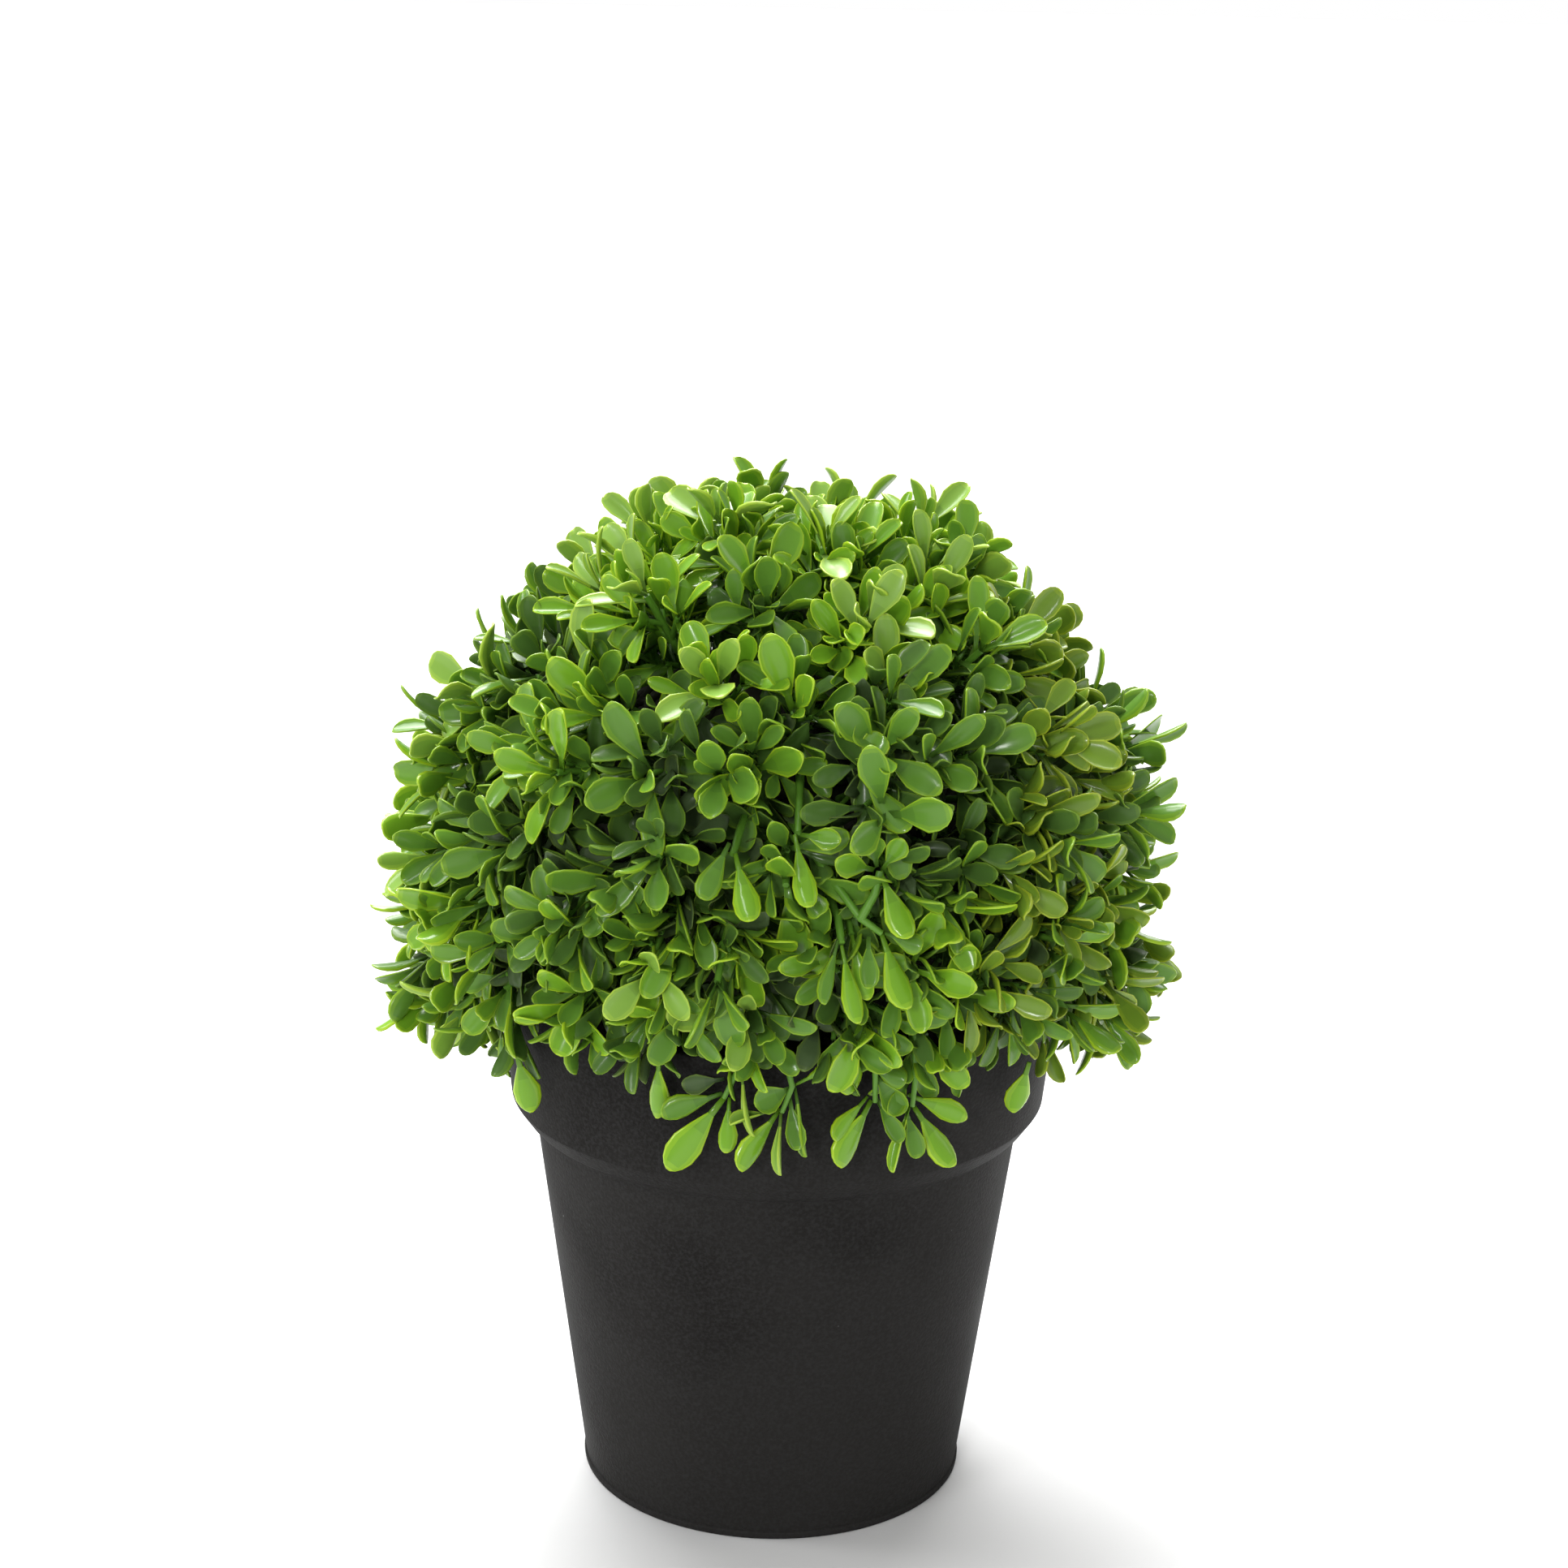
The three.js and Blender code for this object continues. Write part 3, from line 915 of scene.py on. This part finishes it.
# Open sprigs in the middle of the front, whose twigs show. Their rows are as those of the hanging sprigs,
# but distances are off the round of the ball's sprig tips.
FRONT_TWIGS = (
    ((2, 174, -16), (8, 167, -2), (12, 160, 3), (15, 157, 4)),
    ((12, 160, 3), (14, 165, 4), (15, 169.5, 4)),
    ((-6, 181, -14), (-7, 176, -1), (-7.5, 172.5, 3)),
    ((4, 187, -14), (3, 181, -2), (2.5, 177, 3)),
    ((8, 164, -12), (9, 159, 0), (9, 155.5, 4)),
)
FRONT_LEAVES = (
    (15, 157, 18, 142, 1.06, "fresh", "back"),
    (13, 156.5, 12, 147, 0.8, "mid", "front"),
    (15.5, 157, 20, 155, 0.7, "mid", "back"),
    (15, 169.5, 18, 157, 0.98, "fresh", "back"),
    (14, 170, 8, 173, 0.92, "leaf", "front"),
    (14.5, 170.5, 13, 178, 0.9, "mid", "front"),
    (15.5, 170, 18, 177, 0.85, "leaf", "front"),
    (2, 177, 4, 164, 0.86, "fresh", "back"),
    (3, 177, 8.5, 177, 0.8, "leaf", "front"),
    (-7, 173, -4, 161, 0.98, "fresh", "back"),
    (-8, 175, -11, 165, 0.8, "mid", "back"),
    (9, 155, 11, 139.5, 0.74, "fresh", "back"),
    (8.5, 156, 6, 144, 0.62, "mid", "back"),
    (13, 188, 19, 178, 1.02, "mid", "back"),
    (13, 189, 17, 196, 0.9, "leaf", "front"),
)


def front_sprigs(growth):
    """The open sprigs; the rest of the ball leaves room for their leaves and twig ends."""
    for run in FRONT_TWIGS:
        points = [off_ball(*point) for point in run]
        growth.twigs.append((points, MAIN_TWIG))
        growth.kept_clear += points[-2:]
    for row in FRONT_LEAVES:
        laid_leaf(growth, row, off_ball, foot_off=4.0, tip_off=8.5)


def grow_ball():
    growth = Growth(SEED + 1)
    front_sprigs(growth)
    crown_sprigs(growth)
    fringe_sprigs(growth)
    for row in FRINGE_LEAVES:
        laid_leaf(growth, row, foot_off=8.0, tip_off=4.0)
    return growth


def hanging_sprigs(tree, twig_maker, shapes, finishes, green):
    """Each hanging sprig is a twig and one piece of leaves for each tone, and all stand for its solid."""
    for index, (twig, leaves) in enumerate(zip(HANGING_TWIGS, HANGING_LEAVES)):
        node = f"hanging_sprig_{index + 1}"
        growth = Growth(SEED + 10 + index)
        growth.twigs.append(([off_rim(*point) for point in twig], HANGING_TWIG))
        for row in leaves:
            laid_leaf(growth, row)
        parts = leaf_pieces(growth, tree, shapes, finishes, f"{node}_")
        stalk = twig_maker.run(lines(f"{node}_line", growth.twigs), f"{node}_twig", sides=8, finish=green)
        smooth(stalk)
        for part in [*parts, stalk]:
            belong(part, node)


def stations(name, rows):
    """Bare points, one for each leaf, with the leaf's turn, size and shape."""
    points = bpy.data.meshes.new(name)
    points.from_pydata([tuple(row[0]) for row in rows], [], [])
    for label, kind, index in (("turn", "FLOAT_VECTOR", 1), ("size", "FLOAT_VECTOR", 2)):
        values = np.array([row[index] for row in rows], dtype=np.float32).ravel()
        points.attributes.new(label, kind, "POINT").data.foreach_set("vector", values)
    points.attributes.new("shape", "INT", "POINT").data.foreach_set("value", [row[3] for row in rows])
    return placed(name, points)


def lines(name, twigs):
    """The middle lines of the twigs, with the radius at each point."""
    points, edges, girths = [], [], []
    for run, (start, end) in twigs:
        first = len(points)
        for index, point in enumerate(run):
            points.append(tuple(point))
            girths.append(start + (end - start) * index / (len(run) - 1))
            if index:
                edges.append((first + index - 1, first + index))
    mesh = bpy.data.meshes.new(name)
    mesh.from_pydata(points, edges, [])
    mesh.attributes.new("girth", "FLOAT", "POINT").data.foreach_set("value", girths)
    return placed(name, mesh)


def leaf_pieces(growth, tree, shapes, finishes, prefix=""):
    """The leaves as joined pieces, with one tone to a piece."""
    made = []
    for tone, rows in growth.leaves.items():
        for part, first in enumerate(range(0, len(rows), PIECE_LEAVES)):
            name = f"{prefix}{tone}_leaves_{part + 1}"
            holder = stations(f"stations_{name}", rows[first:first + PIECE_LEAVES])
            piece = tree.run(holder, name, leaf_shapes=shapes, **finishes[tone])
            piece.data.attributes.remove(piece.data.attributes["zone"])
            made.append(piece)
    return made


def foliage():
    """The ball: leaves joined by tone, the twigs, and the core they are plugged into."""
    shapes = leaf_collection()
    tree = leaf_tree()
    twig_maker = twig_tree()
    green = plain_finish("twig_plastic", (82, 126, 38), 0.4, specular=0.3)
    finishes = {tone: leaf_finishes(tone) for tone in LEAF_TONES}
    growth = grow_ball()
    for piece in leaf_pieces(growth, tree, shapes, finishes):
        belong(piece, "foliage_ball")
    twigs = twig_maker.run(lines("twig_lines", growth.twigs), "sprig_twigs", sides=6, finish=green)
    smooth(twigs)
    belong(twigs, "foliage_ball")
    # Painted shade: the dark core stands for the shade deep inside the foliage.
    dark = plain_finish("core_plastic", (52, 52, 44), 0.8, specular=0.1)
    empty = mesh_object("core_base", [], [])
    core = core_tree().run(
        empty, "openwork_core", centre=tuple(BALL_CENTRE), radius=CORE_RADIUS, bar=1.3 * MM, finish=dark,
    )
    smooth(core)
    belong(core, "foliage_ball")
    hanging_sprigs(tree, twig_maker, shapes, finishes, green)


# ======== pot, plug and post
def pot():
    """The thin-walled pot: rim band, sloped collar under it, tapered wall and a small lip at the foot."""
    lip_height, lip_proud = 1.6 * MM, 0.55 * MM
    collar_drop, collar_height = 4.0 * MM, 1.4 * MM
    recess = 0.9 * MM
    slope = (SHOULDER_RADIUS - FOOT_RADIUS) / BAND_FOOT_Z
    collar_z = BAND_FOOT_Z - collar_drop
    wall_top = collar_z - collar_height
    corners = (
        (0, recess, 0),
        (FOOT_RADIUS - 5 * MM, recess, 0),
        (FOOT_RADIUS - 4.2 * MM, 0, 0.3 * MM),
        (FOOT_RADIUS + lip_proud, 0, 0.7 * MM),
        (FOOT_RADIUS + lip_proud + 0.1 * MM, lip_height, 0.3 * MM),
        (FOOT_RADIUS + slope * lip_height, lip_height + 0.2 * MM, 0),
        (FOOT_RADIUS + slope * wall_top, wall_top, 3 * MM),
        (COLLAR_RADIUS - 0.5 * MM, collar_z - 0.3 * MM, 0),
        (COLLAR_RADIUS, collar_z + 0.2 * MM, 0.3 * MM),
        (BAND_FOOT_RADIUS - 0.35 * MM, BAND_FOOT_Z - 0.35 * MM, 0.5 * MM),
        (BAND_FOOT_RADIUS, BAND_FOOT_Z + 0.25 * MM, 0.4 * MM),
        (RIM_RADIUS, POT_HEIGHT, 0.9 * MM),
        (RIM_RADIUS - WALL, POT_HEIGHT, 0.7 * MM),
        (BAND_FOOT_RADIUS - WALL, BAND_FOOT_Z + WALL, 1 * MM),
        (SHOULDER_RADIUS - WALL, BAND_FOOT_Z - WALL, 1 * MM),
        (FOOT_RADIUS - WALL, FLOOR_THICKNESS, 0),
        (0, FLOOR_THICKNESS, 0),
    )
    piece = turned("turned_pot", rounded(corners), 144)
    smooth(piece, math.radians(40))
    belong(piece, "pot", pot_plastic())


def plug():
    """The dark weighted plug in the pot, lumpy on top."""
    radius, low, high = FILL_HIGH.x, FILL_LOW.z, FILL_HIGH.z
    gap = 0.4 * MM
    steps = 14
    shares = [1 - step / steps for step in range(steps)]
    top = [(radius * share, high - 2 * MM * share ** 2) for share in shares]
    foot = FOOT_RADIUS - WALL - gap
    shoulder = SHOULDER_RADIUS - WALL - gap
    profile = [(0, low), (foot, low), (shoulder, BAND_FOOT_Z), (radius, high - 8 * MM), *top, (0, high)]
    piece = turned("plug", profile, 72)
    dice = np.random.default_rng(SEED + 5)
    waves = [
        (dice.uniform(60, 260, 2), dice.uniform(0, 6.28), dice.uniform(0.15, 0.4) * MM) for _ in range(9)
    ]
    for vertex in piece.data.vertices:
        spot = vertex.co
        if spot.z > high - 3 * MM and math.hypot(spot.x, spot.y) < radius - 2 * MM:
            ripple = sum(
                size * math.sin(way[0] * spot.x + way[1] * spot.y + start) for way, start, size in waves
            )
            spot.z -= 0.8 * MM + ripple
    smooth(piece)
    belong(piece, "pot_fill", plug_finish())


def post():
    """The moulded post between plug and core: flared foot, slight taper, two mould seams."""
    foot, height = STEM_LOW.z, STEM_HIGH.z - STEM_LOW.z
    flare, body, tip = STEM_HIGH.x, 6.2 * MM, 4.6 * MM
    points, faces = [], []
    rings, turns = 16, 40
    for ring in range(rings + 1):
        t = ring / rings
        radius = body + (tip - body) * t + (flare - body) * max(0, 1 - t * 6) ** 2
        for step in range(turns):
            angle = 2 * math.pi * step / turns
            seam = 1 + 0.04 * max(0, math.cos(2 * angle)) ** 40
            x, y = radius * seam * math.cos(angle), radius * math.sin(angle)
            points.append((x, y, foot + height * t))
    for ring in range(rings):
        low, high = ring * turns, (ring + 1) * turns
        for step in range(turns):
            after = (step + 1) % turns
            faces.append((low + step, low + after, high + after, high + step))
    faces.append(tuple(range(turns))[::-1])
    faces.append(tuple(rings * turns + step for step in range(turns)))
    piece = mesh_object("moulded_post", points, faces)
    smooth(piece, math.radians(50))
    belong(piece, "stem", post_finish())


# ======== studio
def floor():
    """The pale floor."""
    half = 12.0
    corners = [(-half, -half, 0), (half, -half, 0), (half, half, 0), (-half, half, 0)]
    piece = mesh_object("studio_floor", corners, [(0, 1, 2, 3)])
    piece.data.materials.append(plain_finish("pale_floor", (204, 204, 204), 0.9, specular=0.1))


def backdrop():
    """A plain white wall all round, open on top, that only the camera sees."""
    radius, height, turns = 11.8, 2.9, 48
    angles = [2 * math.pi * step / turns for step in range(turns)]
    points = [(radius * math.cos(a), radius * math.sin(a), z) for z in (0, height) for a in angles]
    pairs = [(step, (step + 1) % turns) for step in range(turns)]
    faces = [(after, step, turns + step, turns + after) for step, after in pairs]
    piece = mesh_object("studio_backdrop", points, faces)
    bright = plain_finish("bright_backdrop", (0, 0, 0), 1.0, specular=0.0)
    glow = {"Emission Color": (1, 1, 1, 1), "Emission Strength": 1.0}
    set_values(bright.node_tree.nodes["Principled BSDF"], glow)
    piece.data.materials.append(bright)
    piece.visible_diffuse = False
    piece.visible_glossy = False
    piece.visible_transmission = False
    piece.visible_shadow = False


# Each light: the direction it comes from, its spread in degrees, its strength and its colour.
WHITE = (1.0, 1.0, 1.0)
WARM = (1.0, 0.93, 0.84)
LIGHTS = {
    "top": ((-0.3, 0.6, 1.0), 40, 4.9, WHITE),
    "left": ((-0.95, 0.1, 0.45), 18, 1.05, WHITE),
    "right": ((0.95, 0.1, 0.45), 18, 0.25, WARM),
    "front": ((-0.3, -0.95, 0.4), 8, 0.92, WHITE),
    "front_left": ((-0.5, -0.6, 0.9), 9, 0.42, WHITE),
    "back": ((0.05, 0.8, 0.75), 42, 3.2, WHITE),
}


def lights():
    """The white surround and the soft lights."""
    world = bpy.data.worlds.new("studio_surround")
    bpy.context.scene.world = world
    world.use_nodes = True
    set_values(world.node_tree.nodes["Background"], {"Color": (1, 1, 1, 1), "Strength": 0.6})
    for name, (source, spread, strength, colour) in LIGHTS.items():
        light = bpy.data.lights.new(f"{name}_softbox", "SUN")
        light.angle = math.radians(spread)
        light.energy = strength
        light.color = colour
        holder = placed(light.name, light)
        holder.location = source
        holder.rotation_euler = (-Vector(source)).to_track_quat("-Z", "Y").to_euler()


def camera():
    """At the front, looking down by its elevation, turned by a slight roll."""
    distance = 0.7
    elevation = math.radians(15.77)
    roll = math.radians(1.03)
    target = Vector((0.0003, 0, 0.1664))
    data = bpy.data.cameras.new("front_camera")
    data.sensor_width = 36
    data.lens = 70.7
    holder = placed("front_camera", data)
    ahead = Vector((0, math.cos(elevation), -math.sin(elevation)))
    level = Vector((1, 0, 0))
    upright = level.cross(ahead)
    right = level * math.cos(roll) + upright * math.sin(roll)
    up = upright * math.cos(roll) - level * math.sin(roll)
    place = target - ahead * distance
    holder.matrix_world = Matrix((
        (right.x, up.x, -ahead.x, place.x),
        (right.y, up.y, -ahead.y, place.y),
        (right.z, up.z, -ahead.z, place.z),
        (0, 0, 0, 1),
    ))
    bpy.context.scene.camera = holder


bpy.context.scene.view_settings.view_transform = "Standard"
camera()
floor()
backdrop()
lights()
pot()
plug()
post()
foliage()
